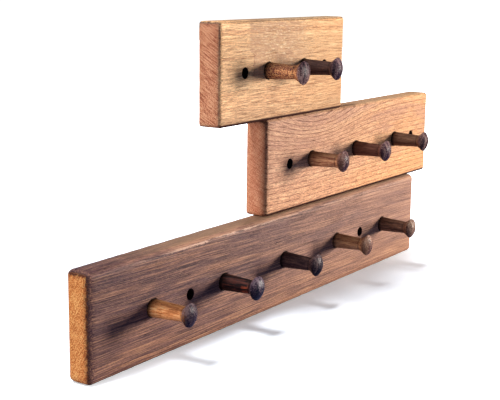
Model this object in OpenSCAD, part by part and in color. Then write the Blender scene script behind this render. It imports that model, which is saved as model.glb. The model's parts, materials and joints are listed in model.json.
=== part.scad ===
// A set of three wooden peg rails of one section, stacked on their long edges:
// five pegs below, three in the middle and two on top.
// X runs along the rails, the pegs point to -Y, and +Y faces the wall.
// The origin is the centre of the whole set's box, on the surface it stands on.

/* [Boards] */
// Height of every board
board_height = 75; // [60:1:100]
// Thickness of every board
board_thickness = 20; // [18:0.5:30]
// Width of the 45 degree chamfer on every edge
edge_chamfer = 2; // [0.5:0.1:3]
// Length of the lower board
lower_length = 450; // [430:1:600]
// Length of the middle board
middle_length = 276; // [260:1:400]
// Length of the upper board
upper_length = 172; // [160:1:300]

/* [Stack] */
// From the lower board's left end to the middle board's left end
middle_shift = 201; // [150:1:230]
// From the lower board's left end to the upper board's left end
upper_shift = 137; // [120:1:230]
// How far the middle board's face stands back from the lower board's face
middle_setback = 2.5; // [0:0.5:5]
// How far the upper board's face stands back from the lower board's face
upper_setback = 0; // [0:0.5:5]

/* [Pegs] */
// Pegs in the lower board
lower_peg_count = 5; // [4:1:5]
// Pegs in the middle board
middle_peg_count = 3; // [2:1:3]
// Pegs in the upper board
upper_peg_count = 2; // [1:1:2]
// Distance between pegs in the lower board
lower_peg_spacing = 81; // [60:1:90]
// Distance between pegs in the middle board
middle_peg_spacing = 72; // [50:1:80]
// Distance between pegs in the upper board
upper_peg_spacing = 49; // [40:1:70]
// Diameter where a peg leaves the board
peg_base_diameter = 12.6; // [11.5:0.1:16]
// Smallest diameter, just behind the head
peg_neck_diameter = 10.2; // [8:0.1:11]
// Diameter of the head
peg_head_diameter = 17.2; // [14:0.1:24]
// From the board's face to the neck
peg_neck_distance = 23.5; // [15:0.5:40]
// Length of the flare from the neck to the head's rim
peg_flare_length = 6.0; // [3:0.1:10]
// Height of the dome in front of the rim
peg_dome_height = 3.2; // [2:0.1:6]
// Diameter of the tenon glued into the board
tenon_diameter = 10; // [8:0.5:11]
// Wood left behind the tenon's hole
tenon_floor = 4.5; // [3:0.5:6]

/* [Screw holes] */
// Diameter of the counterbore for the screw's head
counterbore_diameter = 8.2; // [7:0.1:12]
// Depth of the counterbore
counterbore_depth = 9; // [4:0.5:12]
// Diameter of the clearance hole for the screw
screw_hole_diameter = 4.5; // [3:0.1:6]

/* [Hidden] */
LOWER_PEGS = [for (i = [1:lower_peg_count]) str("lower_peg_", i)];
MIDDLE_PEGS = [for (i = [1:middle_peg_count]) str("middle_peg_", i)];
UPPER_PEGS = [for (i = [1:upper_peg_count]) str("upper_peg_", i)];
BOARDS = ["lower_board", "middle_board", "upper_board"];

// Glue room all round the tenon, and at its end.
glue_gap = 0.05;
glue_end_gap = 0.5;
// How far a cutter runs past the face that it cuts.
overcut = 1;
round_steps = 96;

tenon_hole_depth = board_thickness - tenon_floor;
tenon_length = tenon_hole_depth - glue_end_gap;
peg_rim_distance = peg_neck_distance + peg_flare_length;
peg_reach = peg_rim_distance + peg_dome_height;

// The whole set's box, from the lower board's left end and its face.
stack_right = max(lower_length, middle_shift + middle_length, upper_shift + upper_length);
stack_back = board_thickness + max(0, middle_setback, upper_setback);
stack_front = min(0, middle_setback, upper_setback) - peg_reach;
// Each board's left end, face and lower edge in the set's frame.
lower_place = [-stack_right / 2, -(stack_back + stack_front) / 2, 0];
middle_place = lower_place + [middle_shift, middle_setback, board_height];
upper_place = lower_place + [upper_shift, upper_setback, 2 * board_height];

// Distance along a board to its peg number i, counted from 1: the pegs are centred on the board.
function peg_x(length, count, spacing, i) = length / 2 + (i - (count + 1) / 2) * spacing;
// Left screw hole halfway between the board's end and its first peg.
function hole_by_end(length, count, spacing) = peg_x(length, count, spacing, 1) / 2;
// Left screw hole halfway between the first two pegs.
function hole_by_pegs(length, count, spacing) = peg_x(length, count, spacing, 1.5);

// A rectangle with its four corners cut at 45 degrees.
module chamfered_rectangle(width, height) {
    c = edge_chamfer;
    polygon([
        [c, 0], [width - c, 0], [width, c], [width, height - c],
        [width - c, height], [c, height], [0, height - c], [0, c]
    ]);
}

// A plank from its left end, face and lower edge, with all twelve edges chamfered.
module plank(length) {
    intersection() {
        // Seen from above.
        linear_extrude(board_height) chamfered_rectangle(length, board_thickness);
        // Seen from the front.
        translate([0, board_thickness, 0])
            rotate([90, 0, 0])
                linear_extrude(board_thickness) chamfered_rectangle(length, board_height);
        // Seen from the end.
        rotate([90, 0, 90])
            linear_extrude(length) chamfered_rectangle(board_thickness, board_height);
    }
}

// A round cutter that enters the face at height board_height / 2 and goes in to a depth.
module face_drill(x, diameter, depth) {
    translate([x, depth, board_height / 2])
        rotate([90, 0, 0])
            cylinder(d = diameter, h = depth + overcut, $fn = round_steps);
}

// A plank with its blind peg holes and two counterbored screw holes, hole_x from either end.
module board(length, count, spacing, hole_x) {
    difference() {
        plank(length);
        for (i = [1:count])
            face_drill(peg_x(length, count, spacing, i), tenon_diameter + 2 * glue_gap, tenon_hole_depth);
        for (x = [hole_x, length - hole_x]) {
            face_drill(x, counterbore_diameter, counterbore_depth);
            face_drill(x, screw_hole_diameter, board_thickness + overcut);
        }
    }
}

// One turned peg along -Y, with its shoulder on the board's face at Y 0.
module peg() {
    head_radius = peg_head_diameter / 2;
    dome_radius = (pow(head_radius, 2) + pow(peg_dome_height, 2)) / (2 * peg_dome_height);
    rotate([90, 0, 0]) {
        // Tenon inside the board.
        translate([0, 0, -tenon_length])
            cylinder(d = tenon_diameter, h = tenon_length + overcut, $fn = round_steps);
        // Shank, thinner towards the neck.
        cylinder(d1 = peg_base_diameter, d2 = peg_neck_diameter, h = peg_neck_distance, $fn = round_steps);
        // Flare under the head.
        translate([0, 0, peg_neck_distance])
            cylinder(d1 = peg_neck_diameter, d2 = peg_head_diameter, h = peg_flare_length, $fn = round_steps);
        // Shallow dome: the cap of a sphere that meets the rim.
        translate([0, 0, peg_rim_distance])
            intersection() {
                translate([0, 0, peg_dome_height - dome_radius])
                    sphere(r = dome_radius, $fn = round_steps);
                cylinder(r = head_radius + overcut, h = peg_dome_height + overcut, $fn = round_steps);
            }
    }
}

// Peg number i of a board, in the board's own frame.
module board_peg(length, count, spacing, i) {
    translate([peg_x(length, count, spacing, i), 0, board_height / 2])
        peg();
}

module lower_board() {
    color("#8a6a62")
        translate(lower_place)
            board(lower_length, lower_peg_count, lower_peg_spacing,
                hole_by_pegs(lower_length, lower_peg_count, lower_peg_spacing));
}

module middle_board() {
    color("#d0996f")
        translate(middle_place)
            board(middle_length, middle_peg_count, middle_peg_spacing,
                hole_by_end(middle_length, middle_peg_count, middle_peg_spacing));
}

module upper_board() {
    color("#e6b586")
        translate(upper_place)
            board(upper_length, upper_peg_count, upper_peg_spacing,
                hole_by_end(upper_length, upper_peg_count, upper_peg_spacing));
}

module lower_peg(i) {
    color("#5c4034")
        translate(lower_place)
            board_peg(lower_length, lower_peg_count, lower_peg_spacing, i);
}

module middle_peg(i) {
    color("#54392e")
        translate(middle_place)
            board_peg(middle_length, middle_peg_count, middle_peg_spacing, i);
}

module upper_peg(i) {
    color("#6b452f")
        translate(upper_place)
            board_peg(upper_length, upper_peg_count, upper_peg_spacing, i);
}

lower_board();
middle_board();
upper_board();
for (i = [1:lower_peg_count])
    lower_peg(i);
for (i = [1:middle_peg_count])
    middle_peg(i);
for (i = [1:upper_peg_count])
    upper_peg(i);
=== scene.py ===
import json
import math

import bmesh
import bpy
from mathutils import Euler, Matrix, Vector, noise


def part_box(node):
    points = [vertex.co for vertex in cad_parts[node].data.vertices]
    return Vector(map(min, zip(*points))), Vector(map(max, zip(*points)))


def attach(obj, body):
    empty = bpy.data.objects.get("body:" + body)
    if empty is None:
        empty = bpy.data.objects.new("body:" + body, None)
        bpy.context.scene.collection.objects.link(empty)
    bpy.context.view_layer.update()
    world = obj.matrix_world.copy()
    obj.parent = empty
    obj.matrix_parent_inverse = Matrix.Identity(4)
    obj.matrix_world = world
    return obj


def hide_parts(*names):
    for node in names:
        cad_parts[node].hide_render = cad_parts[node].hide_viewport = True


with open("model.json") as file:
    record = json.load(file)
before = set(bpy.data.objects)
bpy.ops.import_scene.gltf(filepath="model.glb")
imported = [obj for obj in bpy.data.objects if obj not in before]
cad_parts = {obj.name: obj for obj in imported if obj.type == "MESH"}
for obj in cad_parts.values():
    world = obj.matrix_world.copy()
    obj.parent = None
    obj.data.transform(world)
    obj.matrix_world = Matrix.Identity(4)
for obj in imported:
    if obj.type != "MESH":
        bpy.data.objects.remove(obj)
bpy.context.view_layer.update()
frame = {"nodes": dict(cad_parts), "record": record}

# Three wooden peg rails, stacked on their long edges. Each board and each peg is one visual piece.
# The frame is in metres. Lengths below are in millimetres, except for the lights and the floor.
MM = 0.001
scene = bpy.context.scene

# ---- sizes that the frame doesn't give
COUNTERBORE_RADIUS = 4.1
COUNTERBORE_DEPTH = 9.0
MOUTH_FLARE = 0.3  # how much wider a counterbore's eased mouth is
MOUTH_EASE = 0.35  # how deep that ease reaches
BACK_COUNTERSINK = 1.4  # how much wider the screw hole's cutter is behind the back
BACK_EASE = 0.4  # how deep the countersink on the back reaches
SOCKET_RADIUS = 6.75  # shallow recess round each peg's base
SOCKET_DEPTH = 0.7
SOCKET_FLARE = 0.25
SOCKET_EASE = 0.2
BORE_RADIUS = 5.05
BORE_DEPTH = 15.5
FACE_OVERLAP = 0.05  # how far in front of the face a mouth reaches its full width
OVERCUT = 1.0  # how far a cutter runs past the face that it cuts
TENON_RADIUS = 5.0
TENON_LENGTH = 15.0
TENON_CHAMFER = 0.6
PEG_BASE_RADIUS = 6.3
PEG_NECK_RADIUS = 5.1
PEG_RIM_ROUNDING = 0.6
PEG_REACH = 32.6
PEG_SEGMENTS = 72
SHANK_RINGS, FLARE_RINGS, DOME_RINGS = 44, 12, 18
HOLE_SEGMENTS = 56
GRID = 3.5  # greatest spacing of the vertices on a board's faces
PLAIN_MARGIN = 4.0  # from a board's outside to the first line of that grid
BOARD_SHARP_ANGLE = 32  # degrees, past which an edge stays crisp
PEG_SHARP_ANGLE = 38

# How much brighter a fully lit surface looks than its reflectance.
LIGHT_LEVEL = 1.4


# ---- small helpers
def linear(red, green, blue):
    """A colour given as 0 to 255 screen values, as the linear values that shaders take."""
    def channel(value):
        c = value / 255
        return c / 12.92 if c <= 0.04045 else ((c + 0.055) / 1.055) ** 2.4
    return channel(red), channel(green), channel(blue), 1.0


def wood(red, green, blue):
    """The linear reflectance of wood that has this colour, as 0 to 255 values, in the studio light."""
    return tuple(c / LIGHT_LEVEL for c in linear(red, green, blue)[:3]) + (1.0,)


def wood_ramp(low, high, dark, middle, light):
    """The stops of a ramp of three wood colours, with the middle one at 0.5."""
    return [(low, wood(*dark)), (0.50, wood(*middle)), (high, wood(*light))]


def smooth_step(low, high, value):
    t = max(0.0, min(1.0, (value - low) / (high - low)))
    return t * t * (3 - 2 * t)


def screw_mount(rail):
    """The record's mount for a rail's screw holes."""
    return next(m for m in frame["record"]["mounts"] if m["name"] == rail + "_screw_holes")


def screw_holes(rail):
    """The middles of a rail's two screw holes on the wall side."""
    mount = screw_mount(rail)
    half = Vector((mount["dims"]["spacing_x_mm"] * MM / 2, 0, 0))
    middle = Vector(mount["pos_m"])
    return [middle - half, middle + half]


def peg_nodes(rail):
    """The rail's peg nodes, from left to right."""
    return sorted(n for n in frame["nodes"] if n.startswith(rail + "_peg_"))


# ---- node graphs
class Value:
    """A node's output, with the usual arithmetic."""

    def __init__(self, socket):
        self.socket = socket
        self.tree = socket.id_data

    def __add__(self, other):
        return calc("ADD", self, other)

    def __radd__(self, other):
        return calc("ADD", other, self)

    def __sub__(self, other):
        return calc("SUBTRACT", self, other)

    def __rsub__(self, other):
        return calc("SUBTRACT", other, self)

    def __mul__(self, other):
        return calc("MULTIPLY", self, other)


def put(socket, value):
    """Links an input to a value, or sets it to a constant."""
    if isinstance(value, Value):
        value.tree.links.new(value.socket, socket)
    else:
        socket.default_value = value


def new_node(kind, inputs, **settings):
    """A node beside those that its inputs come from."""
    tree = next(value.tree for value in inputs.values() if isinstance(value, Value))
    made = tree.nodes.new(kind)
    for key, setting in settings.items():
        setattr(made, key, setting)
    for key, value in inputs.items():
        put(made.inputs[key], value)
    return made


def calc(operation, *values):
    return Value(new_node("ShaderNodeMath", dict(enumerate(values)), operation=operation).outputs[0])


def least(a, b):
    return calc("MINIMUM", a, b)


def most(a, b):
    return calc("MAXIMUM", a, b)


def magnitude(value):
    return calc("ABSOLUTE", value)


def swing(value, amount):
    """A noise, which lies about 0.5, as an amount that swings about 0."""
    return (value - 0.5) * amount


def offset(value, middle, width):
    """How many widths a value lies from a middle."""
    return (value - middle) * (1 / width)


def distance(a, b):
    return calc("SQRT", a * a + b * b)


def bell(square):
    """A soft bump of a squared offset: 1 in the middle, fading out."""
    return calc("EXPONENT", square * -1.0)


def step(value, low, high, out_low=0.0, out_high=1.0):
    """A smooth step of value from low to high."""
    inputs = {"Value": value, "From Min": low, "From Max": high, "To Min": out_low, "To Max": out_high}
    return Value(new_node("ShaderNodeMapRange", inputs, interpolation_type="SMOOTHSTEP").outputs["Result"])


def vector(x, y, z):
    return Value(new_node("ShaderNodeCombineXYZ", {"X": x, "Y": y, "Z": z}).outputs[0])


def stretched(place, scales, shift=0.0):
    """A place (three values) scaled along each axis, and shifted along X."""
    x, y, z = (p * s for p, s in zip(place, scales))
    return vector(x + shift, y, z)


def noise_value(place, detail=3.0, roughness=0.55):
    inputs = {"Vector": place, "Scale": 1.0, "Detail": detail, "Roughness": roughness}
    return Value(new_node("ShaderNodeTexNoise", inputs, noise_dimensions="3D").outputs[0])


def ramp(factor, stops):
    made = new_node("ShaderNodeValToRGB", {"Fac": factor})
    elements = made.color_ramp.elements
    while len(elements) < len(stops):
        elements.new(0.5)
    for element, (position, colour) in zip(elements, stops):
        element.position = position
        element.color = colour
    return Value(made.outputs["Color"])


def mix(factor, a, b, blend="MIX"):
    inputs = {"Factor": factor, "A": a, "B": b}
    return Value(new_node("ShaderNodeMix", inputs, data_type="RGBA", blend_type=blend).outputs["Result"])


def scaled_colour(colour, amount):
    """A colour or a vector multiplied by a number."""
    inputs = {0: colour, "Scale": amount}
    return Value(new_node("ShaderNodeVectorMath", inputs, operation="SCALE").outputs[0])


class Surface:
    """A material to be wired up."""

    def __init__(self, name):
        self.material = bpy.data.materials.new(name)
        self.material.use_nodes = True
        self.tree = self.material.node_tree
        self.shader = self.tree.nodes["Principled BSDF"]

    def place_in_mm(self, corner):
        """How far the surface point lies from a corner along X, Y and Z, in millimetres."""
        place = Value(self.tree.nodes.new("ShaderNodeTexCoord").outputs["Object"])
        moved = new_node("ShaderNodeVectorMath", {0: place, 1: corner}, operation="SUBTRACT").outputs[0]
        parts = new_node("ShaderNodeSeparateXYZ", {"Vector": scaled_colour(Value(moved), 1 / MM)})
        return [Value(part) for part in parts.outputs]

    def finish(self, colour, roughness, height, depth, strength=1.0, gloss=0.2):
        """Wires up the shader. Depth is the bump's height in millimetres."""
        bump = new_node("ShaderNodeBump", {"Height": height, "Distance": depth * MM, "Strength": strength})
        inputs = self.shader.inputs
        put(inputs["Base Color"], colour)
        put(inputs["Roughness"], roughness)
        put(inputs["Specular IOR Level"], gloss)
        put(inputs["Normal"], Value(bump.outputs[0]))
        return self.material


# ---- wood of the boards
# Width of each board's edge chamfers, and the rounding of each chamfer's two arrises.
BOARD_EDGES = {
    "lower": {"chamfer": 3.0, "softening": 1.3},
    "middle": {"chamfer": 1.8, "softening": 0.5},
    "upper": {"chamfer": 1.7, "softening": 0.5},
}

# The looks that boards share. Amounts run from 0 to about 1, and X and Z start at the lower left.
PLAIN_LOOK = {
    "slope": 0.0,  # how far the grain fans out towards the right end
    "arch": None,  # a sag in the grain: its middle, its width, its depth and the height it starts at
    "tint_amount": 0.35,
    "worn_amount": 0.30,  # how pale the long edges are, from rubbed wear and, on the lower board, a painted highlight
    "worn_from": 0.0,  # X where that rubbing and highlight start
    "rim_amount": 0.0,  # how dark the top edges are
    "arris": None,  # colour and amount of a painted highlight along the front top edge
    "end_reach": 0.35,  # how far the end grain comes round onto the end's chamfers
    "edge_soft": 0.45,  # share of the chamfer on which its dark colour is full
    "top_glow": 0.0,  # how much painted light brightens the face along its top
    "bottom_fall": 0.0,  # how much painted shade darkens it along its bottom
    "left_glow": 0.0,  # how much painted light brightens it at its left end
    "patch": None,  # a duller patch: its left, right and low limits, its colour and its amount
    "seam": 1.0,  # how dark the painted shade along the face's bottom edge is
}

# What each board adds. seed sets its noises apart. drift and wobble: how far its grain wanders. run: how
# short its streaks are. pith and ring_gap: the middle of its rings (Y, Z) and their spacing. left and
# right: the ramps at the two ends of its faces. end: the end grain's ramp. edge: the colour of its oiled
# edges. crust: how far that reaches onto the end. arris_dark: how black it gets. thread and fine: the
# contrasts of its threads and fibres. silk: the colour and amount of its pale threads. low_glow:
# how much painted light brightens the face's lower half. low_blue: how much blue it keeps.
# front_shade: how much painted shade darkens the end towards the front. edge_fade: how much of the end
# chamfer's dark colour is left at the bottom. fleck: where its pale flecks gather (X, Z, half width) and
# how strong they are. rays and cross_rays: the angle and the amount of two sets of rays.
BOARD_LOOKS = {
    "lower": {
        **PLAIN_LOOK,
        "seed": 3.0, "drift": 1.6, "wobble": 0.35, "run": 0.62, "slope": 0.032,
        "pith": (58.0, -46.0), "ring_gap": 3.6, "ring_strength": 0.14,
        "left": wood_ramp(0.38, 0.62, (84, 55, 60), (124, 86, 81), (172, 121, 96)),
        "right": wood_ramp(0.36, 0.64, (147, 102, 87), (174, 125, 103), (201, 150, 121)),
        "tint": wood(100, 72, 80), "tint_amount": 0.40,
        "top": wood(190, 150, 116), "top_amount": 0.62,
        "end": wood_ramp(0.41, 0.59, (154, 78, 40), (230, 140, 76), (255, 198, 124)),
        "edge": wood(50, 25, 27), "crust": 3.6, "arris_dark": 1.0,
        "end_reach": 1.2, "edge_soft": 0.30, "edge_fade": 1.0,
        "worn": wood(224, 168, 132), "worn_amount": 0.50, "worn_from": 95.0,
        "arris": (wood(255, 206, 178), 0.75),
        "pore": wood(44, 28, 34), "pore_strength": 0.34,
        "thread": 2.3, "fine": 2.7, "silk": (wood(218, 166, 124), 0.60),
        "low_glow": 0.30, "low_blue": 0.86, "top_glow": 0.05, "front_shade": 0.0,
        "fleck": (225.0, 60.0, 400.0, 0.20),
        "rays": (-60.0, 0.10), "cross_rays": (20.0, 0.05),
        "seam": 0.0,
    },
    "middle": {
        **PLAIN_LOOK,
        "seed": 11.0, "drift": 2.5, "wobble": 0.7, "run": 2.4, "arch": (74.0, 64.0, 24.0, 26.0),
        "pith": (-30.0, 120.0), "ring_gap": 4.0, "ring_strength": 0.95,
        "left": wood_ramp(0.36, 0.64, (198, 140, 109), (217, 160, 125), (234, 181, 143)),
        "right": wood_ramp(0.36, 0.64, (219, 149, 98), (234, 167, 112), (247, 188, 131)),
        "tint": wood(192, 136, 112), "tint_amount": 0.50,
        "top": wood(214, 178, 136), "top_amount": 0.45,
        "end": wood_ramp(0.38, 0.62, (200, 118, 86), (238, 156, 118), (255, 192, 150)),
        "edge": wood(64, 28, 26), "crust": 3.0, "arris_dark": 0.9, "edge_fade": 0.8,
        "worn": wood(240, 196, 152),
        "pore": wood(112, 56, 40), "pore_strength": 0.30,
        "thread": 1.8, "fine": 2.8, "silk": (wood(250, 204, 160), 0.25),
        "low_glow": 0.26, "low_blue": 0.89, "front_shade": 0.60,
        "fleck": (200.0, 40.0, 60.0, 0.20),
        "rays": (38.0, 0.12), "cross_rays": (-52.0, 0.12),
    },
    "upper": {
        **PLAIN_LOOK,
        "seed": 23.0, "drift": 3.0, "wobble": 0.9, "run": 1.3,
        "pith": (92.0, 92.0), "ring_gap": 6.4, "ring_strength": 0.22,
        "left": wood_ramp(0.36, 0.64, (216, 156, 110), (240, 186, 134), (253, 208, 156)),
        "right": wood_ramp(0.36, 0.64, (210, 149, 97), (232, 173, 117), (249, 198, 142)),
        "tint": wood(228, 168, 112),
        "top": wood(206, 176, 142), "top_amount": 0.65,
        "end": wood_ramp(0.39, 0.62, (164, 90, 68), (231, 154, 114), (252, 190, 148)),
        "edge": wood(80, 48, 54), "crust": 2.4, "arris_dark": 0.8, "edge_fade": 0.75,
        "worn": wood(255, 218, 172), "rim_amount": 0.75,
        "pore": wood(150, 86, 56), "pore_strength": 0.46,
        "thread": 2.6, "fine": 2.3, "silk": (wood(255, 220, 172), 0.30),
        "low_glow": 0.14, "low_blue": 1.0, "top_glow": 0.24, "bottom_fall": 0.22, "left_glow": 0.15,
        "front_shade": 0.15,
        "fleck": (74.0, 58.0, 42.0, 1.0), "patch": (42.0, 112.0, 33.0, wood(204, 151, 114), 0.55),
        "rays": (31.0, 0.32), "cross_rays": (-60.0, 0.05),
    },
}
RIM_COLOUR = wood(104, 72, 54)
# Painted shade in the gap under a board, along its bottom edge.
SEAM_SHADE_COLOUR = wood(64, 20, 2)
FLECK_HALF_HEIGHT = 30.0

# The noises in a board's wood: waves per millimetre along X, Y and Z, what each adds to the board's seed,
# and its detail and roughness.
BOARD_NOISES = {
    "drift": ((0.006, 0.02, 0.012), 0, 2.0, 0.55),
    "wobble": ((0.020, 0.06, 0.06), 7, 3.0, 0.55),
    "ring_break": ((0.12, 0.5, 0.5), 5, 3.0, 0.55),
    "band": ((0.0045, 0.13, 0.13), 13, 4.0, 0.6),
    "streak": ((0.014, 0.85, 0.85), 19, 3.0, 0.6),
    "thread": ((0.042, 2.1, 2.1), 29, 2.0, 0.6),
    "fibre": ((0.34, 2.3, 2.3), 33, 3.0, 0.7),
    "dash": ((0.040, 1.85, 1.85), 37, 2.0, 0.5),
    "crack": ((0.3, 0.3, 0.5), 43, 2.0, 0.55),
    "tint": ((0.012, 0.06, 0.06), 51, 3.0, 0.6),
    "stipple": ((0.4, 1.15, 1.15), 61, 4.0, 0.8),
    "speck": ((0.5, 1.6, 1.6), 67, 2.0, 0.6),
    "ragged": ((0.42, 0.42, 0.42), 71, 3.0, 0.6),
    "rubbed": ((0.05, 0.5, 0.5), 77, 3.0, 0.6),
}


class BoardWood(Surface):
    """Oiled hardwood for one board. Its figure runs through the solid, so the ends match the faces.
    X, Y and Z start at the board's lower left front corner."""

    def __init__(self, rail, corner, size):
        super().__init__(rail + "_board_wood")
        self.look = BOARD_LOOKS[rail]
        self.chamfer = BOARD_EDGES[rail]["chamfer"]
        self.length, self.thickness, self.height = (s / MM for s in size)
        self.place = self.place_in_mm(corner)
        self.bend_grain()
        self.grow_rings()
        self.lay_fibres()
        self.curl_figure()
        self.stipple = self.board_noise("stipple")
        self.find_ends()
        self.find_dark_edges()

    def board_noise(self, name, place=None, run=1.0):
        """One of the board's noises. Run makes it change faster along the board."""
        (along, back, up), shift, detail, roughness = BOARD_NOISES[name]
        scales = (along * run, back, up)
        shifted = stretched(place or self.place, scales, self.look["seed"] + shift)
        return noise_value(shifted, detail, roughness)

    def bend_grain(self):
        """The grain wanders a little along the board, and sags in an arch."""
        look = self.look
        x, y, z = self.place
        self.drift = self.board_noise("drift") - 0.5
        wobble = self.board_noise("wobble") - 0.5
        grain_z = z + (self.drift * (look["drift"] * 2) + wobble * (look["wobble"] * 2))
        if look["slope"]:
            grain_z = grain_z + x * z * (look["slope"] / self.height)
        if look["arch"]:
            middle, width, depth, lowest = look["arch"]
            across = offset(x, middle, width)
            self.arch = bell(across * across)
            grain_z = grain_z + self.arch * (step(z, lowest, self.height + 4) * depth)
        self.grain = (x, y, grain_z)

    def grow_rings(self):
        """Dark, broken late wood in growth rings round a pith outside the board."""
        pith_y, pith_z = self.look["pith"]
        x, y, grain_z = self.grain
        radius = distance(y - pith_y, grain_z - pith_z)
        phase = calc("FRACT", radius * (1 / self.look["ring_gap"]))
        ring = step(phase, 0.70, 0.90) * step(phase, 1.0, 0.94)
        whole = step(self.board_noise("ring_break", self.grain), 0.40, 0.58)
        self.late_wood = ring * (0.25 + whole * 0.75)

    def lay_fibres(self):
        """Colour bands, streaks, threads, fibres and pores along the grain."""
        grain, run = self.grain, self.look["run"]
        self.band = self.board_noise("band", grain)
        self.streak = self.board_noise("streak", grain, run)
        self.thread = self.board_noise("thread", grain, run)
        self.fibre = self.board_noise("fibre", grain)
        self.pore = step(self.board_noise("dash", grain, run) + self.late_wood * 0.06, 0.59, 0.66)

    def curl_figure(self):
        """Curled figure, and pale flecks that gather in one part of the board."""
        x, y, z = self.place
        self.curl = noise_value(vector(x * 0.16 + z * 0.10, y * 0.05, z * 0.30), 4.0, 0.68)
        middle_x, middle_z, half_width, strength = self.look["fleck"]
        across = offset(x, middle_x, half_width)
        up = offset(z, middle_z, FLECK_HALF_HEIGHT)
        self.fleck_near = bell(across * across + up * up)
        fleck_place = vector(x * 0.20 + self.look["seed"], y * 0.4, self.grain[2] * 0.95 + x * 0.06)
        fleck = step(noise_value(fleck_place, 2.0, 0.6), 0.53, 0.66)
        self.fleck = fleck * (self.fleck_near * strength)

    def find_ends(self):
        """Picks out the end grain, with a ragged border."""
        x, y, z = self.place
        chamfer, reach = self.chamfer, self.look["end_reach"]
        back_chamfer = self.thickness - chamfer
        self.ragged = self.board_noise("ragged") - 0.5
        self.from_end = least(x, self.length - x)
        self.ragged_from_end = self.from_end + self.ragged * (0.3 + reach * 2.2)
        is_end = step(self.ragged_from_end, reach + 0.2, reach - 0.2)
        # End grain also shows on the end's chamfers along the bottom and the back.
        low = step(z, chamfer + 0.5, chamfer - 0.3)
        low_or_back = most(low, step(y, back_chamfer - 0.5, back_chamfer + 0.3))
        near_end = step(self.from_end + self.ragged * 1.2, chamfer, chamfer - 0.8)
        self.is_end = most(is_end, low_or_back * near_end)

    def find_dark_edges(self):
        """The oil darkened the end grain most along the front and top, and the chamfers beside it."""
        look, chamfer, reach = self.look, self.chamfer, self.look["end_reach"]
        x, y, z = self.place
        from_edge = least(y - (chamfer - 1.0), self.height - chamfer + 0.6 - z)
        crust = look["crust"]
        browned = step(from_edge + self.ragged * 7.0, crust, crust - 2.6, 0.0, 0.45)
        blackened = step(from_edge + self.ragged * 4.0, 1.6, 0.3, 0.0, look["arris_dark"])
        on_end = self.is_end * most(browned, blackened)
        on_chamfer = step(self.from_end + self.ragged * 2.4, chamfer + 0.2, chamfer * look["edge_soft"])
        past_end = step(self.ragged_from_end, reach - 0.3, reach + 0.2)
        on_chamfer = on_chamfer * past_end * step(from_edge, 4.5, 2.5)
        fade = step(z, self.height * 0.3, self.height * 0.95, look["edge_fade"], 1.0)
        self.dark_edge = most(on_end, on_chamfer * fade)

    def plain_face(self):
        """The long faces' tone, changing from left to right, with patches of a tint."""
        look = self.look
        x, y, z = self.place
        tone = self.band * 0.40 + self.streak * 0.60 + swing(self.thread, 0.35)
        tone = tone - self.late_wood * (look["ring_strength"] * 0.16)
        along = step(x + self.drift * 120.0, self.length * 0.12, self.length * 0.97)
        face = mix(along, ramp(tone, look["left"]), ramp(tone, look["right"]))
        tinted = step(self.board_noise("tint", self.grain), 0.45, 0.62)
        amount = step(z, 0.0, self.height * 0.7, look["tint_amount"] * 0.35, look["tint_amount"])
        return mix(tinted * amount, face, look["tint"])

    def figured(self, face):
        """Threads, fibres, curl, silk and painted light on the lower half, all calmer at the right."""
        look, height = self.look, self.height
        x, y, z = self.place
        calm = step(x, self.length * 0.60, self.length * 0.95, 1.0, 0.5)
        contrast = 1.0 + swing(self.thread, look["thread"]) + swing(self.fibre, look["fine"])
        contrast = contrast + swing(self.curl, 0.12 + self.fleck_near * 0.5)
        face = scaled_colour(face, 1.0 + (contrast - 1.0) * calm)
        silk_colour, silk_amount = look["silk"]
        face = mix(step(self.thread, 0.58, 0.70) * (calm * silk_amount), face, silk_colour)
        # Painted light brightens the lower half.
        return scaled_colour(face, step(z, height * 0.55, height * 0.05, 1.0, 1.0 + calm * look["low_glow"]))

    def graded(self, face):
        """Slow changes of brightness and blue over a face: painted light that leaves the lower half less
        blue, painted light along the top and at the left end, painted shade along the bottom, and a darker
        tone where the flecks gather.
        """
        look, height = self.look, self.height
        x, y, z = self.place
        # Painted light leaves the lower half less blue.
        tint = (1.0, 0.98, look["low_blue"], 1.0)
        face = mix(step(z, height * 0.50, height * 0.10), face, tint, "MULTIPLY")
        # Painted light along the top and at the left end, painted shade along the bottom.
        face = scaled_colour(face, step(z, height * 0.75, height * 0.92, 1.0, 1.0 + look["top_glow"]))
        face = scaled_colour(face, step(z, height * 0.24, height * 0.06, 1.0, 1.0 - look["bottom_fall"]))
        face = scaled_colour(face, step(x, 22.0, 8.0, 1.0, 1.0 + look["left_glow"]))
        return scaled_colour(face, 1.0 - self.fleck_near * (look["fleck"][3] * 0.16))

    def ringed(self, face):
        """Late wood and pores on a face. The rings are stronger inside the arch."""
        look = self.look
        amount = look["ring_strength"] * 0.55
        if look["arch"]:
            amount = amount + self.arch * step(self.place[2], look["arch"][3], self.height) * 0.40
        face = mix(self.late_wood * amount, face, look["pore"])
        return mix(self.pore * look["pore_strength"], face, look["pore"])

    def patched(self, face):
        """A duller patch with ragged sides, and a fine crack on its left."""
        left, right, low, patch_colour, amount = self.look["patch"]
        height = self.height
        x, y, z = self.place
        ragged_x = x + swing(self.curl, 8.0) + step(z, height * 0.66, height * 0.72, 0.0, 5.0)
        patch = step(ragged_x, left - 1.5, left + 1.5) * step(ragged_x, right + 18, right - 18)
        patch = patch * step(z + swing(self.band, 20.0), low - 5, low + 5)
        face = mix(patch * (amount + swing(self.curl, 2.6)), face, patch_colour)
        crack = step(magnitude(ragged_x - left), 0.9, 0.3)
        crack = crack * (step(z, low, low + 4) * step(z, low + 24, low + 16))
        broken = step(self.board_noise("crack", self.grain), 0.40, 0.55, 0.0, 0.6)
        return mix(crack * broken, face, self.look["pore"])

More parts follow.
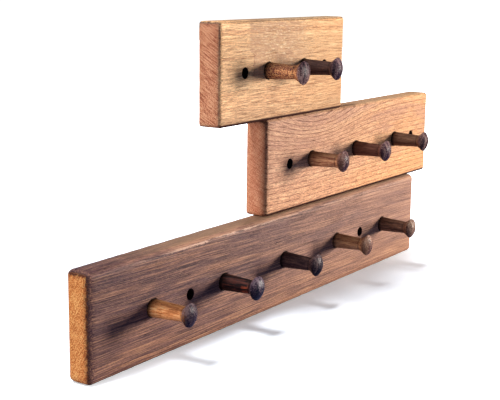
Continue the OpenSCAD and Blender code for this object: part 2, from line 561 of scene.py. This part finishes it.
    def ray_lines(self, degrees):
        """Fine broken lines across the end grain, at an angle."""
        x, y, z = self.place
        cosine, sine = math.cos(math.radians(degrees)), math.sin(math.radians(degrees))
        along = y * cosine + z * sine
        across = z * cosine - y * sine
        seed = self.look["seed"] + degrees
        return noise_value(vector(across * 1.15, along * 0.10, seed), 2.0, 0.6)

    def end_grain(self):
        """The same solid seen across the fibres, with two sets of rays."""
        look = self.look
        x, y, z = self.place
        tone = self.stipple * 0.80 + self.band * 0.20 - self.late_wood * (look["ring_strength"] * 0.10)
        for degrees, amount in (look["rays"], look["cross_rays"]):
            tone = tone + swing(self.ray_lines(degrees), amount * 2)
        speck = step(self.board_noise("speck"), 0.56, 0.68, 0.0, 0.45)
        end = mix(speck, ramp(tone, look["end"]), look["edge"])
        # Painted shade darkens the end towards the front.
        return scaled_colour(end, 1.0 - step(y, 9.0, 0.5, 0.0, look["front_shade"]))

    def worn_top(self, face):
        """The paler top face, and pale threads below the top edge."""
        look, height = self.look, self.height
        x, y, z = self.place
        is_top = step(z, height - 1.2, height - 0.3) * step(x, 5.0, 120.0, 0.0, look["top_amount"])
        face = mix(is_top, face, look["top"])
        below_rim = step(z, height - 8.0, height - 3.0) * step(self.thread, 0.50, 0.62)
        return mix(below_rim * self.worn_and_highlight_reach * (look["worn_amount"] * 0.55), face, look["worn"])

    def painted_arris_highlight(self, colour):
        """A painted highlight: a pale, broken line where the front meets the top chamfer, stronger on the
        left.
        """
        arris_colour, amount = self.look["arris"]
        x, y, z = self.place
        from_arris = magnitude(z - (self.height - self.chamfer - 0.2))
        arris = step(from_arris + self.ragged * 2.4, 1.0, 0.3) * step(y, 1.4, 0.6)
        arris = arris * self.worn_and_highlight_reach * step(x, 160.0, 240.0, 1.0, 0.35)
        arris = arris * step(self.worn_and_highlight_noise + swing(self.thread, 0.5), 0.38, 0.56)
        return mix(arris * amount, colour, arris_colour)

    def edged(self, colour):
        """The edges: rubbed pale, which on the lower board is also a painted highlight, dark where the oil
        gathered, and painted shade along the bottom.
        """
        look, height, chamfer = self.look, self.height, self.chamfer
        x, y, z = self.place
        from_long_edge = most(least(y, self.thickness - y), least(z, height - z))
        long_edge = step(from_long_edge + self.ragged * 1.6, chamfer, chamfer - 0.9) * (1.0 - self.dark_edge)
        # Pale long edges: rubbed wear, and on the lower board's top front chamfer also a painted highlight.
        rubbed = step(self.worn_and_highlight_noise, 0.38, 0.60, 0.35, 1.0) * self.worn_and_highlight_reach
        colour = mix(long_edge * rubbed * look["worn_amount"], colour, look["worn"])
        # A painted highlight along the front top edge.
        if look["arris"]:
            colour = self.painted_arris_highlight(colour)
        rim = long_edge * step(z, height - chamfer - 0.8, height - chamfer + 0.4)
        rim = rim * step(z, height - 0.25, height - 0.6)
        colour = mix(rim * look["rim_amount"], colour, RIM_COLOUR)
        colour = mix(self.dark_edge * (0.86 + swing(self.stipple, 1.6)), colour, look["edge"])
        # Painted shade along the bottom edge, in the gap to the board below.
        seam = step(z, chamfer + 1.2, chamfer + 0.2) * look["seam"]
        return mix(seam * (1.0 - self.is_end), colour, SEAM_SHADE_COLOUR)

    def made(self):
        """The finished material."""
        worn_and_highlight_start = self.look["worn_from"]
        self.worn_and_highlight_reach = step(self.place[0], worn_and_highlight_start - 80, worn_and_highlight_start + 40)
        self.worn_and_highlight_noise = self.board_noise("rubbed")
        face = self.ringed(self.graded(self.figured(self.plain_face())))
        if self.look["patch"]:
            face = self.patched(face)
        face = self.worn_top(mix(self.fleck, face, self.look["worn"]))
        colour = self.edged(mix(self.is_end, face, self.end_grain()))
        roughness = 0.50 + self.fibre * 0.25 + self.is_end * 0.14
        relief = self.thread * 0.6 + (self.fibre * 0.4 + self.curl * 0.3) - self.pore * 0.7
        relief = relief + self.is_end * (self.stipple * 1.4)
        return self.finish(colour, roughness, relief, depth=0.20, strength=0.8, gloss=0.12)


def shaded_bored_wood(rail):
    """The wall of a drilled hole: scorched and rough, and darkened with painted shade for its depth."""
    surface = Surface(rail + "_bored_wood")
    rings = noise_value(stretched(surface.place_in_mm((0, 0, 0)), (0.9, 3.2, 0.9), 5.0))
    colour = ramp(rings, [(0.30, wood(16, 10, 10)), (0.75, wood(74, 46, 34))])
    return surface.finish(colour, 0.6 + rings * 0.3, rings, depth=0.12)


# ---- wood of the pegs
PLAIN_PEG = {
    "streaky": 0.8,  # how uneven the shank is along its fibres
    "mottle": 0.35,  # how mottled the shank is
    "dull": 0.20,  # how dark painted shade makes the shank's upper side
    "foot": 0.05,  # how much painted shade darkens the shank towards the board
    "spot": 0.0,  # how strong the painted pool of light near the neck is
    "dark_from": 26.5,  # how far out the head's colour starts
    "side": (-5.0, 0.3),  # X where the paler band on the head's left ends, and its amount
    "fall": 0.10,  # how much painted shade darkens the head's bottom, and painted light lightens its top
    "polish": 0.05,  # how glossy the peg is
}


def peg_look(shank, head, **changes):
    """A peg's look: the dark, middle and light screen colours of its shank and its head, and its changes."""
    ramps = {"shank": wood_ramp(0.36, 0.64, *shank), "head": wood_ramp(0.36, 0.64, *head)}
    return {**PLAIN_PEG, **ramps, **changes}


PEG_LOOKS = {
    "lower_peg_1": peg_look(
        ((168, 98, 56), (238, 154, 96), (255, 196, 136)), ((28, 18, 38), (62, 45, 58), (124, 98, 98)),
        dull=0.62, foot=0.10, dark_from=26.6, side=(-5.4, 0.6), polish=0.06),
    "lower_peg_2": peg_look(
        ((14, 6, 10), (40, 20, 22), (104, 52, 42)), ((12, 8, 34), (37, 25, 46), (116, 92, 104)),
        streaky=1.2, dull=0.30, foot=0.25, spot=0.6, side=(-6.0, 0.2), polish=0.12),
    "lower_peg_3": peg_look(
        ((46, 30, 34), (80, 56, 57), (122, 90, 80)), ((18, 12, 26), (48, 34, 44), (104, 82, 82)),
        mottle=0.3, foot=0.0, side=(-5.0, 0.2)),
    "lower_peg_4": peg_look(
        ((122, 78, 56), (204, 147, 108), (240, 188, 138)), ((62, 38, 40), (122, 84, 74), (186, 144, 124)),
        mottle=0.3, dull=0.42, foot=0.15, dark_from=27.5, side=(-2.0, 0.5), fall=0.08, polish=0.035),
    "lower_peg_5": peg_look(
        ((76, 48, 38), (124, 88, 72), (166, 122, 96)), ((82, 56, 54), (136, 102, 88), (184, 146, 122)),
        streaky=0.7, mottle=0.2, dull=0.25, foot=0.0, dark_from=27.5, side=(-3.0, 0.4), fall=0.08,
        polish=0.06),
    "middle_peg_1": peg_look(
        ((112, 66, 52), (182, 124, 94), (224, 170, 126)), ((36, 22, 38), (86, 60, 66), (156, 116, 108)),
        dull=0.52, foot=0.30, dark_from=27.0, side=(-3.6, 0.5), fall=0.07),
    "middle_peg_2": peg_look(
        ((78, 48, 40), (116, 76, 64), (152, 106, 88)), ((46, 30, 48), (94, 68, 76), (156, 120, 114)),
        streaky=0.5, mottle=0.15, fall=0.04, polish=0.035),
    "middle_peg_3": peg_look(
        ((78, 52, 40), (122, 88, 70), (158, 118, 92)), ((40, 26, 42), (86, 62, 70), (146, 112, 106)),
        streaky=0.45, mottle=0.15, fall=0.04, polish=0.02),
    "upper_peg_1": peg_look(
        ((66, 40, 54), (194, 116, 80), (255, 190, 130)), ((40, 25, 36), (96, 68, 74), (164, 130, 126)),
        streaky=0.6, mottle=1.7, dull=0.55, foot=0.45, dark_from=28.8, side=(-7.5, 0.3), fall=-0.03,
        polish=0.04),
    "upper_peg_2": peg_look(
        ((54, 36, 34), (92, 67, 61), (126, 92, 78)), ((46, 32, 50), (98, 73, 84), (150, 118, 118)),
        streaky=0.5, mottle=0.15, dull=0.15, side=(-4.0, 0.4), fall=0.05, polish=0.03),
}
PEG_PORE = wood(38, 22, 20)
# Colour of the painted pool of light near a peg's neck.
PEG_PAINTED_LIGHT = wood(212, 96, 58)
PEG_PIT = wood(20, 12, 22)
# Colour of the painted shade where a peg meets its board and under its head.
PEG_CONTACT_SHADE = wood(30, 18, 16)

# How far out each peg's neck is, the radius of its head, the height of the head's dome, and its lean in
# degrees. A lean's first angle tips the peg down, and its second tips it to the right.
PEG_SHAPES = {
    "lower_peg_1": (25.6, 8.2, 2.4, (0.2, 3.8)),
    "lower_peg_2": (24.0, 8.75, 3.1, (0.3, 0.5)),
    "lower_peg_3": (23.6, 8.6, 3.0, (0.8, 2.6)),
    "lower_peg_4": (23.5, 8.5, 2.4, (-0.3, -0.2)),
    "lower_peg_5": (23.5, 8.5, 2.7, (0.5, 0.4)),
    "middle_peg_1": (23.5, 8.5, 3.0, (-1.0, 1.0)),
    "middle_peg_2": (23.5, 8.6, 3.0, (0.0, 0.3)),
    "middle_peg_3": (23.8, 8.4, 2.9, (0.0, 1.2)),
    "upper_peg_1": (23.5, 8.6, 2.0, (0.2, 1.2)),
    "upper_peg_2": (24.0, 8.6, 2.9, (0.3, 2.6)),
}

# The noises in a peg's wood: waves per millimetre across the peg and along it, what each adds to the
# peg's seed, and its detail and roughness.
PEG_NOISES = {
    "bend": (0.05, 0.03, 0, 2.0, 0.55),
    "streak": (0.62, 0.035, 0, 4.0, 0.7),
    "fibre": (2.2, 0.16, 0, 3.0, 0.7),
    "dash": (1.5, 0.16, 9, 2.0, 0.5),
    "mottle": (1.15, 0.95, 21, 4.0, 0.8),
    "speckle": (0.85, 0.4, 33, 4.0, 0.8),
    "pit": (1.4, 0.5, 41, 2.0, 0.5),
}


class PegWood(Surface):
    """Turned hardwood with its fibres along the peg, and a darker head where the end grain took up the oil.
    X and Z are measured from the peg's axis, and out from the board's face."""

    def __init__(self, name, foot, seed):
        super().__init__(name + "_wood")
        self.look = PEG_LOOKS[name]
        self.neck = PEG_SHAPES[name][0]
        self.seed = seed
        x, y, z = self.place_in_mm(foot)
        self.place = (x, y * -1.0, z)
        self.bend = self.peg_noise("bend") - 0.5
        self.wander = self.bend * 3.0
        self.fibre = self.peg_noise("fibre")
        self.pore = step(self.peg_noise("dash"), 0.58, 0.68)
        self.mottle = self.peg_noise("mottle")
        self.speckle = self.peg_noise("speckle")
        self.pit = step(self.peg_noise("pit"), 0.57, 0.66)

    def peg_noise(self, name, shift=None):
        """One of the peg's noises, with the place shifted along X if a shift is given."""
        across, along, seed_shift, detail, roughness = PEG_NOISES[name]
        x, out, z = self.place
        noise_x = x * across
        if shift is not None:
            noise_x = noise_x + shift
        noise_z = z * across + (self.seed + seed_shift)
        return noise_value(vector(noise_x, out * along, noise_z), detail, roughness)

    def shank(self):
        """Streaky wood, with painted shade towards the board and on its upper side, and a painted pool of
        light near the neck.
        """
        look = self.look
        x, out, z = self.place
        streak = self.peg_noise("streak", self.wander)
        tone = 0.5 + swing(streak, look["streaky"]) + swing(self.fibre, 0.35)
        tone = tone + swing(self.mottle, look["mottle"])
        shank = mix(self.pore * 0.35, ramp(tone, look["shank"]), PEG_PORE)
        # Painted shade darkens the shank towards the board.
        shank = scaled_colour(shank, step(out, 0.0, 16.0, 1.0 - look["foot"], 1.0))
        # Painted shade on the upper side.
        upper = step(z + swing(self.mottle, 6.0), -0.5, 5.0)
        shank = scaled_colour(shank, 1.0 - upper * look["dull"])
        # A painted pool of light on the lower side near the neck.
        if look["spot"]:
            from_spot = magnitude(out - (self.neck - 3.0))
            spot = step(from_spot + swing(self.mottle, 6.0), 3.6, 1.6) * look["spot"]
            spot = spot * (step(streak, 0.42, 0.56) * step(z + self.bend * 8.0, 2.0, -1.5))
            shank = mix(spot, shank, PEG_PAINTED_LIGHT)
        return shank

    def head(self):
        """Speckled end grain with upright rings, painted light on its top and painted shade on its bottom,
        and a paler band on the left.
        """
        look = self.look
        x, out, z = self.place
        rings = noise_value(vector(x * 0.36 + self.wander, self.seed, z * 0.06), 2.0, 0.6)
        # Painted light on the head's top and painted shade on its bottom.
        fall = look["fall"]
        tone = step(z, -6.0, 6.0, 0.5 - fall, 0.5 + fall) + swing(self.speckle, 0.9)
        head = ramp(tone + swing(rings, 0.8), look["head"])
        side_end, side_amount = look["side"]
        side = step(x + swing(self.speckle, 9.0), side_end + 1.6, side_end - 1.6, 0.0, side_amount)
        head = mix(side, head, [c * 0.40 for c in look["shank"][1][1][:3]] + [1.0])
        return mix(self.pit * 0.50, head, PEG_PIT)

    def contact_shaded(self, colour):
        """Painted shade where the peg meets the board and in the crease under the head."""
        out = self.place[1]
        base = step(out + swing(self.mottle, 3.0), 3.2, 0.3)
        before, after = step(out, self.neck - 0.9, self.neck), step(out, self.neck + 0.9, self.neck)
        crease = before * after * 0.6
        return mix(most(base, crease) * 0.75, colour, PEG_CONTACT_SHADE)

    def made(self):
        """The finished material, with a head that shines more than the shank."""
        out = self.place[1]
        dark_from = self.look["dark_from"]
        at_head = step(out + swing(self.speckle, 4.0), dark_from - 1.3, dark_from + 1.3)
        colour = self.contact_shaded(mix(at_head, self.shank(), self.head()))
        relief = self.fibre * 0.5 - self.pore * 0.8 + calc("SINE", out * 9.0) * 0.05
        relief = relief + at_head * (self.speckle * 1.1 - self.pit * 0.5)
        roughness = 0.46 + self.fibre * 0.20 + at_head * (-0.28 + swing(self.speckle, 0.6))
        return self.finish(colour, roughness, relief, depth=0.18, strength=0.8, gloss=self.look["polish"])


# ---- mesh work
def new_object(name, data):
    made = bpy.data.objects.new(name, data)
    scene.collection.objects.link(made)
    return made


def finished_mesh(bm, name):
    mesh = bpy.data.meshes.new(name)
    bm.to_mesh(mesh)
    bm.free()
    return mesh


def lathe(name, profile, centre, segments):
    """A closed solid of revolution about Y. The profile lists (distance towards -Y, radius) in millimetres
    from back to front, and starts and ends on the axis."""
    bm = bmesh.new()
    rings = []
    for out, radius in profile:
        y = centre.y - out * MM
        turns = [2 * math.pi * k / segments for k in range(segments)] if radius > 0 else [0.0]
        arms = [(radius * MM * math.cos(turn), radius * MM * math.sin(turn)) for turn in turns]
        rings.append([bm.verts.new((centre.x + across, y, centre.z + up)) for across, up in arms])
    for back, front in zip(rings, rings[1:]):
        for k in range(segments):
            after = (k + 1) % segments
            corners = [back[k % len(back)], back[after % len(back)]]
            corners += [front[after % len(front)], front[k % len(front)]]
            # A ring on the axis is one vertex, which a corner list names twice.
            bm.faces.new(list(dict.fromkeys(corners)))
    bmesh.ops.recalc_face_normals(bm, faces=bm.faces)
    return finished_mesh(bm, name)


def shade(mesh, sharp_angle):
    """Smooth shading, with edges sharper than an angle in degrees left crisp."""
    bm = bmesh.new()
    bm.from_mesh(mesh)
    limit = math.radians(sharp_angle)
    for face in bm.faces:
        face.smooth = True
    for edge in bm.edges:
        edge.smooth = len(edge.link_faces) == 2 and edge.calc_face_angle(0.0) < limit
    bm.to_mesh(mesh)
    bm.free()


def add_grid(bm, low, high):
    """Cuts evenly spaced lines across a plank's faces."""
    size = high - low
    inset = PLAIN_MARGIN * MM
    for axis in range(3):
        normal = Vector((0, 0, 0))
        normal[axis] = 1
        count = max(1, round((size[axis] - 2 * inset) / (GRID * MM)))
        for k in range(count + 1):
            cut_place = (low + high) / 2
            cut_place[axis] = low[axis] + inset + (size[axis] - 2 * inset) * k / count
            everything = bm.verts[:] + bm.edges[:] + bm.faces[:]
            bmesh.ops.bisect_plane(bm, geom=everything, plane_co=cut_place, plane_no=normal)


def make_uneven(bm, low, high, chamfer, seed):
    """Pushes a plank's vertices slightly inwards, most near its edges, as sanding does."""
    middle = (low + high) / 2
    for vert in bm.verts:
        depths = [min(vert.co[a] - low[a], high[a] - vert.co[a]) / MM for a in range(3)]
        near_edge = 1 - smooth_step(chamfer * 0.9, chamfer * 1.9, sorted(depths)[1])
        place = vert.co / (7 * MM) + Vector((seed, seed, seed))
        ragged = noise.noise(place) * 0.5 + 0.5
        fine = noise.noise(place * 3.1) * 0.5 + 0.5
        slow = noise.noise(vert.co / (60 * MM) + Vector((seed, 0, 0))) * 0.5 + 0.5
        inwards = middle - vert.co
        for a in range(3):
            on_face = 1 - smooth_step(0.0, chamfer, min(vert.co[a] - low[a], high[a] - vert.co[a]) / MM)
            push = on_face * (0.04 * slow + near_edge * (0.30 * ragged + 0.14 * fine))
            vert.co[a] += math.copysign(push * MM, inwards[a])


def board_blank(low, high, edge, seed):
    """A plank with chamfered, slightly rounded and slightly uneven edges."""
    bm = bmesh.new()
    place = Matrix.Translation((low + high) / 2) @ Matrix.Diagonal((*(high - low), 1))
    bmesh.ops.create_cube(bm, size=1.0, matrix=place)
    for width, rows in ((edge["chamfer"], 1), (edge["softening"], 3)):
        bmesh.ops.bevel(bm, geom=bm.edges[:], offset=width * MM, segments=rows, profile=0.5, affect="EDGES")
    add_grid(bm, low, high)
    make_uneven(bm, low, high, edge["chamfer"], seed)
    return finished_mesh(bm, "blank")


def screw_hole_cutter(point, face_y, back_y, hole_radius):
    """Counterbore, clearance hole and eased mouths, as one solid of revolution."""
    through = (back_y - face_y) / MM
    mouth_radius = COUNTERBORE_RADIUS + MOUTH_FLARE
    profile = [
        (-through - OVERCUT, 0.0), (-through - OVERCUT, hole_radius + BACK_COUNTERSINK),
        (-through + BACK_EASE, hole_radius), (-COUNTERBORE_DEPTH, hole_radius),
        (-COUNTERBORE_DEPTH, COUNTERBORE_RADIUS), (-MOUTH_EASE, COUNTERBORE_RADIUS),
        (FACE_OVERLAP, mouth_radius), (OVERCUT, mouth_radius), (OVERCUT, 0.0),
    ]
    return lathe("cutter", profile, Vector((point.x, face_y, point.z)), HOLE_SEGMENTS)


def peg_hole_cutter(point, face_y):
    """The tenon's blind hole and the shallow recess round the peg's base."""
    mouth_radius = SOCKET_RADIUS + SOCKET_FLARE
    profile = [
        (-BORE_DEPTH, 0.0), (-BORE_DEPTH, BORE_RADIUS), (-SOCKET_DEPTH, BORE_RADIUS),
        (-SOCKET_DEPTH, SOCKET_RADIUS), (-SOCKET_EASE, SOCKET_RADIUS),
        (FACE_OVERLAP, mouth_radius), (OVERCUT, mouth_radius), (OVERCUT, 0.0),
    ]
    return lathe("cutter", profile, Vector((point.x, face_y, point.z)), HOLE_SEGMENTS)


def cut(target, cutters):
    """Cuts closed meshes out of an object."""
    for mesh in cutters:
        tool = new_object("cutter", mesh)
        modifier = target.modifiers.new("cut", "BOOLEAN")
        modifier.operation = "DIFFERENCE"
        modifier.solver = "EXACT"
        modifier.object = tool
        bpy.context.view_layer.update()
        evaluated = target.evaluated_get(bpy.context.evaluated_depsgraph_get())
        result = bpy.data.meshes.new_from_object(evaluated)
        target.modifiers.clear()
        old = target.data
        target.data = result
        bpy.data.meshes.remove(old)
        bpy.data.objects.remove(tool)
        bpy.data.meshes.remove(mesh)


def inside_a_hole(point, face_y, back_y, axes):
    """True for a point on a hole's wall: past the face, and close to a hole's axis."""
    margin = 0.35 * MM
    if point.y < face_y + margin or point.y > back_y - margin:
        return False
    reach = (SOCKET_RADIUS + 0.3) * MM
    return any(math.hypot(point.x - a.x, point.z - a.z) < reach for a in axes)


def make_board(rail, seed):
    node = rail + "_board"
    low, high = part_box(node)
    piece = new_object(rail + "_plank", board_blank(low, high, BOARD_EDGES[rail], seed))
    holes = screw_holes(rail)
    pegs = [sum(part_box(n), Vector()) / 2 for n in peg_nodes(rail)]
    hole_radius = screw_mount(rail)["dims"]["hole_r_mm"]
    cutters = [screw_hole_cutter(p, low.y, high.y, hole_radius) for p in holes]
    cut(piece, cutters + [peg_hole_cutter(p, low.y) for p in pegs])
    mesh = piece.data
    mesh.name = piece.name
    mesh.materials.clear()
    mesh.materials.append(BoardWood(rail, low, high - low).made())
    mesh.materials.append(shaded_bored_wood(rail))
    for face in mesh.polygons:
        face.material_index = int(inside_a_hole(face.center, low.y, high.y, holes + pegs))
    shade(mesh, BOARD_SHARP_ANGLE)
    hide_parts(node)
    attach(piece, rail + "_rail")


def peg_profile(neck, head, dome, seed):
    """From the tenon's end to the crown of the head. The crown always stands at the same distance."""
    profile = [
        (-TENON_LENGTH, 0.0), (-TENON_LENGTH, TENON_RADIUS - TENON_CHAMFER),
        (-TENON_LENGTH + TENON_CHAMFER, TENON_RADIUS), (-SOCKET_DEPTH, TENON_RADIUS),
        (-SOCKET_DEPTH, PEG_BASE_RADIUS - 0.1),
    ]
    # The shank tapers to a crease under the head.
    for k in range(SHANK_RINGS + 1):
        t = k / SHANK_RINGS
        out = t * neck
        radius = PEG_BASE_RADIUS + (PEG_NECK_RADIUS - PEG_BASE_RADIUS) * t
        radius += 0.05 * noise.noise(Vector((out * 0.35, seed, 0)))
        radius += 0.03 * noise.noise(Vector((out * 1.3, seed, 5)))
        radius -= 0.25 * max(0.0, (t - 0.94) / 0.06) ** 2
        profile.append((out, radius))
    # The underside of the head flares from the crease to the rim.
    rim = PEG_REACH - dome - PEG_RIM_ROUNDING
    for k in range(1, FLARE_RINGS + 1):
        t = k / FLARE_RINGS
        out = neck + (rim - PEG_RIM_ROUNDING - neck) * t
        profile.append((out, PEG_NECK_RADIUS + (head - 0.25 - PEG_NECK_RADIUS) * t ** 1.15))
    # The rim is a small roll, with a soft crease before the dome.
    for degrees in (-35, -10, 15, 40, 62):
        turn = math.radians(degrees)
        inwards = PEG_RIM_ROUNDING * (1 - math.cos(turn))
        profile.append((rim + PEG_RIM_ROUNDING * math.sin(turn), head - inwards))
    last_out, last_radius = profile[-1]
    for k in range(1, DOME_RINGS):
        radius = last_radius * (1 - k / DOME_RINGS)
        rise = (PEG_REACH - last_out) * (1 - (radius / last_radius) ** 2.2)
        profile.append((last_out + rise, radius))
    profile.append((PEG_REACH, 0.0))
    return profile


def make_peg(rail, node, face_y, seed):
    low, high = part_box(node)
    foot = Vector(((low.x + high.x) / 2, face_y, (low.z + high.z) / 2))
    neck, head, dome, lean = PEG_SHAPES[node]
    mesh = lathe(node + "_turned", peg_profile(neck, head, dome, seed), Vector((0, 0, 0)), PEG_SEGMENTS)
    down, aside = (math.radians(degrees) for degrees in lean)
    lean = Euler((down, 0, aside)).to_matrix()
    for vert in mesh.vertices:
        out = -vert.co.y / MM
        if out > 0:
            # Slightly out of round, and leaning a little from the board's face outwards.
            uneven = noise.noise(vert.co / (5 * MM) + Vector((seed, 0, 0))) * 0.10
            across = Vector((vert.co.x, 0, vert.co.z))
            if across.length > 0:
                vert.co += across.normalized() * uneven * MM * min(1.0, out / 4)
            vert.co = lean @ vert.co
        vert.co += foot
    shade(mesh, PEG_SHARP_ANGLE)
    mesh.materials.append(PegWood(node, foot, seed).made())
    piece = new_object(node + "_turned", mesh)
    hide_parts(node)
    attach(piece, rail + "_rail")


# ---- build
for number, rail in enumerate(("lower", "middle", "upper")):
    make_board(rail, 4.0 + 9 * number)
    face_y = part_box(rail + "_board")[0].y
    for k, node in enumerate(peg_nodes(rail)):
        make_peg(rail, node, face_y, 2.0 + 17 * number + 5 * k)


# ---- floor, light and camera
def show_to_camera(tree, seen, otherwise, end):
    """Wires up one shader for camera rays, and another for all other rays."""
    path = tree.nodes.new("ShaderNodeLightPath")
    choice = tree.nodes.new("ShaderNodeMixShader")
    tree.links.new(path.outputs["Is Camera Ray"], choice.inputs["Fac"])
    tree.links.new(otherwise.outputs[0], choice.inputs[1])
    tree.links.new(seen.outputs[0], choice.inputs[2])
    tree.links.new(choice.outputs[0], tree.nodes[end].inputs["Surface"])


def light_up_floor(surface, x, y):
    """Paints light into the floor with emission, which lifts it to white, apart from where shadows show. To
    rays other than the camera's it is a dim blue that fades with distance, so it throws little light back."""
    out = distance(x, y)
    # Painted light: more emission to the right, far out, behind the boards and at the left end, where
    # shadows would show.
    beyond = step(x, 135.0, 265.0, 0.0, 0.7) + step(out, 400.0, 900.0, 0.0, 0.7)
    beyond = beyond + step(y, 30.0, 120.0, 0.0, 0.5) + step(x, -60.0, -235.0, 0.0, 0.35)
    put(surface.shader.inputs["Emission Color"], (1.0, 1.0, 1.0, 1.0))
    put(surface.shader.inputs["Emission Strength"], 0.08 + beyond)
    returned = scaled_colour((0.17, 0.20, 0.36), step(out, 520.0, 180.0, 0.08, 1.0))
    diffuse = new_node("ShaderNodeBsdfDiffuse", {"Color": returned})
    show_to_camera(surface.tree, surface.shader, diffuse, "Material Output")


def make_floor():
    bm = bmesh.new()
    bmesh.ops.create_grid(bm, x_segments=24, y_segments=24, size=3.0)
    mesh = finished_mesh(bm, "floor")
    surface = Surface("floor_paper")
    place = surface.place_in_mm((0, 0, 0))
    tone = noise_value(stretched(place, (0.01, 0.01, 0.01)), 2.0)
    colour = ramp(tone, [(0.3, linear(236, 243, 252)), (0.7, linear(240, 246, 253))])
    mesh.materials.append(surface.finish(colour, 0.6, tone, depth=0.02, gloss=0.0))
    light_up_floor(surface, *place[:2])
    floor = new_object("floor", mesh)


def make_world():
    """A weak blue sky for the light, and white for the camera."""
    world = bpy.data.worlds.new("studio")
    world.use_nodes = True
    scene.world = world
    tree = world.node_tree
    background = tree.nodes["Background"]
    seen = tree.nodes.new("ShaderNodeBackground")
    for shader, colour, strength in (
            (background, (0.46, 0.66, 1.0, 1.0), 0.15), (seen, (1.0, 1.0, 1.0, 1.0), 1.1)):
        shader.inputs["Color"].default_value = colour
        shader.inputs["Strength"].default_value = strength
    show_to_camera(tree, seen, background, "World Output")


def new_light(name, kind, power, colour):
    data = bpy.data.lights.new(name, kind)
    data.energy = power
    data.color = colour
    return data, new_object(name, data)


def area_light(name, place, size, watts, colour):
    """A rectangular light that faces the set, with its place and size in metres."""
    data, lamp = new_light(name, "AREA", watts, colour)
    data.shape = "RECTANGLE"
    data.size, data.size_y = size
    lamp.location = place
    lamp.rotation_euler = (Vector((0.0, 0.0, 0.1)) - Vector(place)).to_track_quat("-Z", "Y").to_euler()


def make_lights():
    area_light("key", (1.25, -1.00, 0.225), (0.35, 0.50), 56.0, (1.0, 0.955, 0.87))
    area_light("left_fill", (-1.80, 0.14, 0.22), (0.5, 0.4), 21.0, (1.0, 0.96, 0.90))
    area_light("back_fill", (0.50, 1.80, 0.25), (0.8, 0.3), 18.0, (1.0, 0.97, 0.93))
    data, lamp = new_light("upper_left", "SUN", 3.1, (0.97, 0.98, 1.0))
    data.angle = math.radians(13)
    lamp.rotation_euler = Vector((-0.43, 0.13, 0.90)).to_track_quat("Z", "Y").to_euler()


def make_camera():
    """A camera at the front left, a little above the set."""
    data = bpy.data.cameras.new("camera")
    camera = new_object("camera", data)
    azimuth, elevation, roll = (math.radians(degrees) for degrees in (-55.52, 11.42, 0.68))
    level = math.cos(elevation)
    back = Vector((math.sin(azimuth) * level, -math.cos(azimuth) * level, math.sin(elevation)))
    rotation = back.to_track_quat("Z", "Y").to_matrix() @ Matrix.Rotation(roll, 3, "Z")
    camera.matrix_world = Matrix.Translation(Vector((-717.5, -444.4, 253.6)) * MM) @ rotation.to_4x4()
    data.sensor_width = 36.0
    data.lens = 78.6
    data.clip_start = 0.01
    data.clip_end = 50.0
    scene.camera = camera


make_floor()
make_world()
make_lights()
make_camera()
scene.view_settings.view_transform = "Standard"
